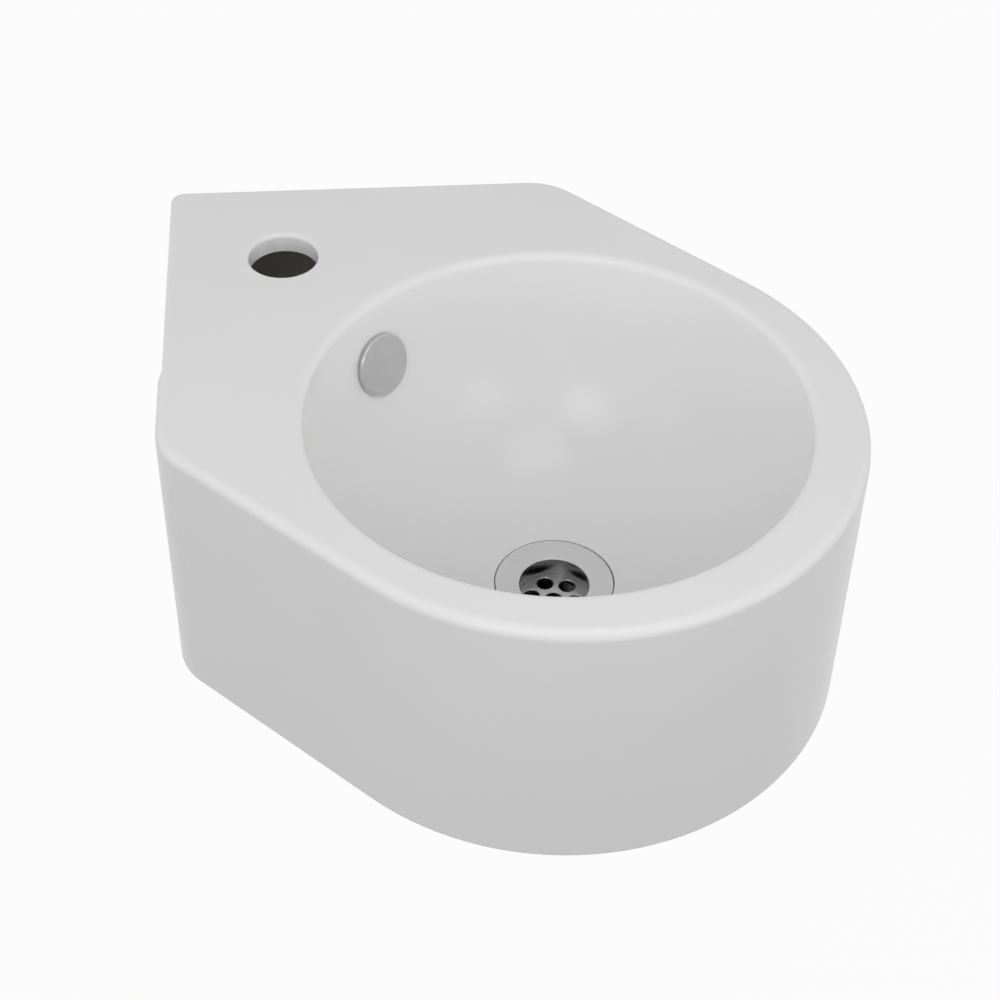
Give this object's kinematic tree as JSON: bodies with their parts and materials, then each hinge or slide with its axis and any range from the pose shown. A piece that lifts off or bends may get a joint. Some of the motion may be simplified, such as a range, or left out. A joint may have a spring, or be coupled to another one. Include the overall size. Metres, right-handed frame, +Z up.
{
  "type": "corner basin",
  "caption": "Wall-hung corner hand basin in white glazed ceramic, with a round bowl, a tap hole, a covered overflow and a strainer waste with seals and backnut.",
  "frame": {"origin": "the point where the planes of both room walls meet at the level of the deck, in the basin's back corner; mount room_corner", "axes": "+Z up, along the tap hole; the left wall is the plane x = 0 and the back wall the plane y = 0, and the basin lies in x > 0, y < 0"},
  "size_m": [0.35, 0.35, 0.1992],
  "materials": {
    "ceramic": "glossy white glaze",
    "waste_chrome": "satin chrome on turned brass",
    "grid_steel": "satin, stamped",
    "seal_rubber": "matt, light grey",
    "gasket_rubber": "matt, black",
    "washer_plastic": "natural white, matt",
    "nut_brass": "as machined",
    "sleeve_plastic": "white, matt",
    "cover_chrome": "polished edge, satin face",
    "clip_steel": "spring steel, bright"
  },
  "bodies": {
    "basin": {"basin_body": "ceramic", "waste_body": "waste_chrome", "waste_grid": "grid_steel", "flange_seal": "seal_rubber", "overflow_sleeve": "sleeve_plastic"},
    "clamping_washers": {"lower_gasket": "gasket_rubber", "slip_washer": "washer_plastic"},
    "backnut": {"backnut": "nut_brass"},
    "overflow_cap": {"overflow_cover": "cover_chrome", "overflow_clip": "clip_steel"}
  },
  "joints": [
    {"name": "nut_travel", "type": "slide", "parent": "basin", "child": "clamping_washers", "axis": [0, 0, -1], "range_m": [0, 0.03243]},
    {"name": "nut_turn", "type": "hinge", "parent": "clamping_washers", "child": "backnut", "pos_m": [0.1992, -0.1992, -0.1662], "axis": [0, 0, -1], "range_deg": [0, 5040]},
    {"name": "cover_pull", "type": "slide", "parent": "basin", "child": "overflow_cap", "axis": [0.6816, -0.6816, 0.2659], "range_m": [0, 0.015]}
  ],
  "couplings": [
    {"joint": "nut_travel", "follows": "nut_turn", "m_per_rad": 0.00036749}
  ]
}
